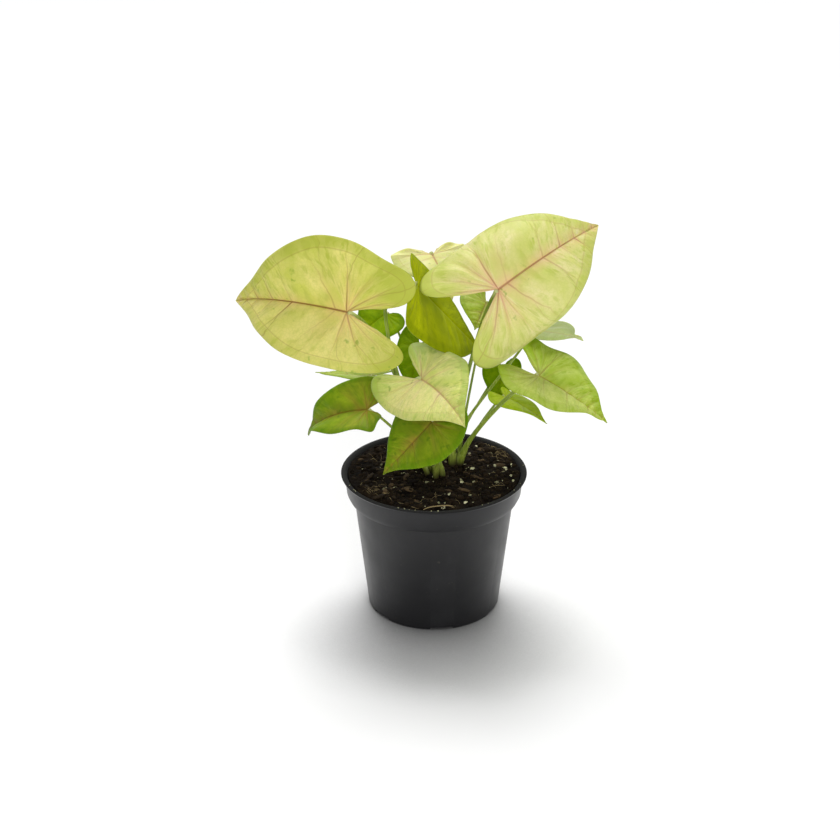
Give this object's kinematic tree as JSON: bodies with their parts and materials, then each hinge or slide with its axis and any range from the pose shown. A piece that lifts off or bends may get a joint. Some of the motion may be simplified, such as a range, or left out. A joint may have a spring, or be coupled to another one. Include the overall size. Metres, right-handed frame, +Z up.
{
  "type": "potted syngonium",
  "caption": "Young syngonium, or arrowhead vine, with pale arrow-shaped leaves on slender stalks, rooted in soil in a round nursery pot; stands on the pot's base.",
  "frame": {"origin": "middle of the pot's underside, on the surface that the pot stands on", "axes": "+Z up, +X to the right of the plant's best side, -Y towards the viewer"},
  "size_m": [0.2348, 0.1562, 0.2612],
  "materials": {
    "pot_plastic": "moulded, semi-gloss charcoal",
    "soil": "damp peat mix with perlite and bark",
    "stem": "smooth green plant stem",
    "leaf": "satin leaf, cream veins with a pink tint"
  },
  "bodies": {
    "root": {"nursery_pot": "pot_plastic", "potting_soil": "soil", "stem_right": "stem", "stem_front": "stem", "stem_back": "stem", "stalk_big_left": "stem", "blade_big_left": "leaf", "stalk_big_right": "stem", "blade_big_right": "leaf", "stalk_front": "stem", "blade_front": "leaf", "stalk_front_low": "stem", "blade_front_low": "leaf", "stalk_left_low": "stem", "blade_left_low": "leaf", "stalk_right": "stem", "blade_right": "leaf", "stalk_right_low": "stem", "blade_right_low": "leaf", "stalk_right_shade": "stem", "blade_right_shade": "leaf", "stalk_right_back": "stem", "blade_right_back": "leaf", "stalk_right_inner": "stem", "blade_right_inner": "leaf", "stalk_middle": "stem", "blade_middle": "leaf", "stalk_top": "stem", "blade_top": "leaf", "stalk_left_shade": "stem", "blade_left_shade": "leaf", "stalk_left_edge": "stem", "blade_left_edge": "leaf", "stalk_front_shade": "stem", "blade_front_shade": "leaf"}
  },
  "joints": []
}
